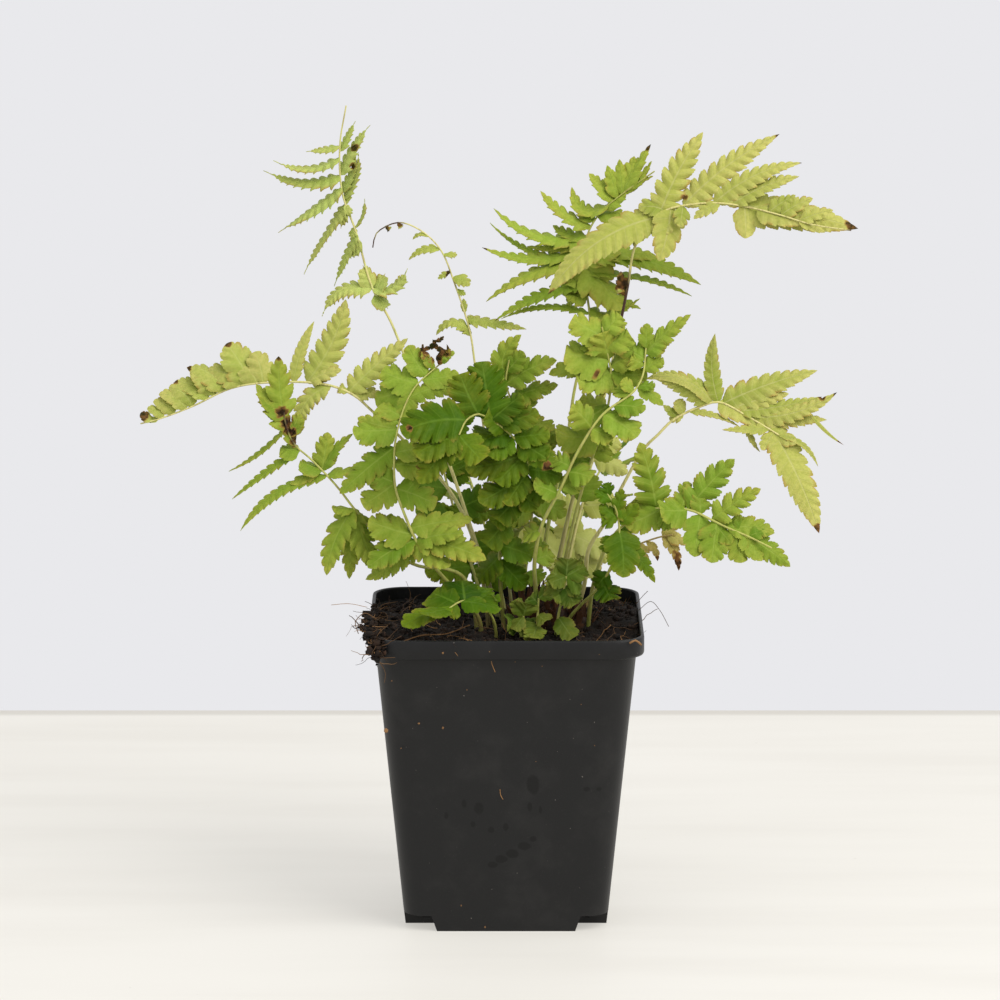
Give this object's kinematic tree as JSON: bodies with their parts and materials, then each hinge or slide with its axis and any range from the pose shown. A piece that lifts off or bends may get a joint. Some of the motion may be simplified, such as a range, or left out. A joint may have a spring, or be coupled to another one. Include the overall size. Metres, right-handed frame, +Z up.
{
  "type": "potted shuttlecock fern",
  "caption": "Young fern with arching yellow-green fronds of lobed leaflets, growing from a scaly crown in dark peat in a square black nursery pot with a cross-shaped foot.",
  "frame": {"origin": "centre of the underside of the cross-shaped foot, which the pot stands on", "axes": "+Z up along the height of the pot; -Y towards the side that the picture shows; +X to the right of it"},
  "size_m": [0.2364, 0.1352, 0.2671],
  "materials": {
    "pot": "satin",
    "peat": "matte",
    "rootstock": "matte",
    "frond_fresh": "satin",
    "frond_dark": "satin",
    "frond_yellow": "satin",
    "frond_young": "satin",
    "frond_withered": "matte"
  },
  "bodies": {
    "root": {"pot": "pot", "soil": "peat", "crown": "rootstock", "frond_tall_left": "frond_yellow", "frond_thin_arching": "frond_yellow", "frond_long_left": "frond_yellow", "frond_hanging_left": "frond_fresh", "frond_centre_left": "frond_fresh", "frond_centre_dark": "frond_dark", "frond_centre_top": "frond_fresh", "frond_upper_right": "frond_fresh", "frond_right_middle": "frond_dark", "frond_top_green": "frond_fresh", "frond_top_yellow": "frond_yellow", "frond_right_yellow": "frond_yellow", "frond_right_front": "frond_fresh", "frond_right_low": "frond_dark", "frond_withered": "frond_withered", "frond_front_low": "frond_fresh", "frond_young_left": "frond_young", "frond_young_middle": "frond_young", "frond_young_right": "frond_young", "frond_back_pale": "frond_yellow", "frond_back_left": "frond_dark", "frond_far_left": "frond_fresh", "frond_far_right": "frond_fresh"}
  },
  "joints": []
}
